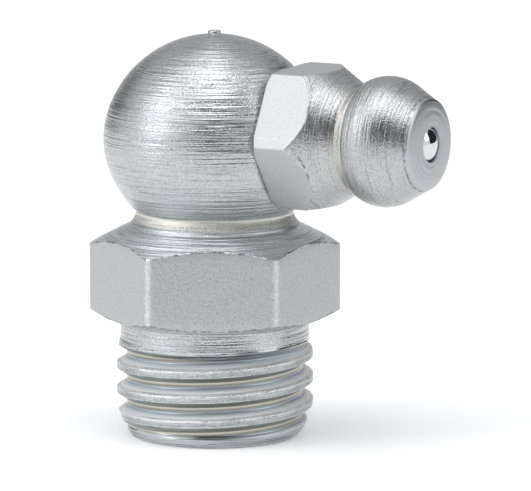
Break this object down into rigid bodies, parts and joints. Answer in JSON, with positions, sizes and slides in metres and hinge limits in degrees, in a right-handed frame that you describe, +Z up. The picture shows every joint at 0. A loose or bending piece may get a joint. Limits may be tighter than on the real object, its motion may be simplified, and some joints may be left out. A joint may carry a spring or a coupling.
{
  "type": "grease nipple",
  "caption": "Right-angle grease nipple: hexagonal body with a threaded shank and a ball top that carries a sprung ball-valve head for a grease coupler.",
  "frame": {"origin": "where the shank's axis meets the hexagon's seating face", "axes": "+Z up along the shank's axis towards the ball, +X along the nipple head's axis, out of its mouth"},
  "size_m": [0.0181, 0.0126, 0.0203],
  "materials": {
    "zinc_plated_body": "bright zinc plate over turned steel",
    "zinc_plated_head": "bright zinc plate over turned steel",
    "hardened_ball": "polished hardened steel",
    "spring_wire": "drawn spring wire"
  },
  "bodies": {
    "fitting": {"fitting_body": "zinc_plated_body", "nipple_head": "zinc_plated_head", "valve_spring": "spring_wire"},
    "check_ball": {"check_ball": "hardened_ball"}
  },
  "joints": [
    {"name": "check_ball_slide", "type": "slide", "parent": "fitting", "child": "check_ball", "axis": [-1, 0, 0], "range_m": [0, 0.0008], "stiffness_N_per_m": 600, "springref_m": -0.0005, "deforming": ["valve_spring"]}
  ]
}
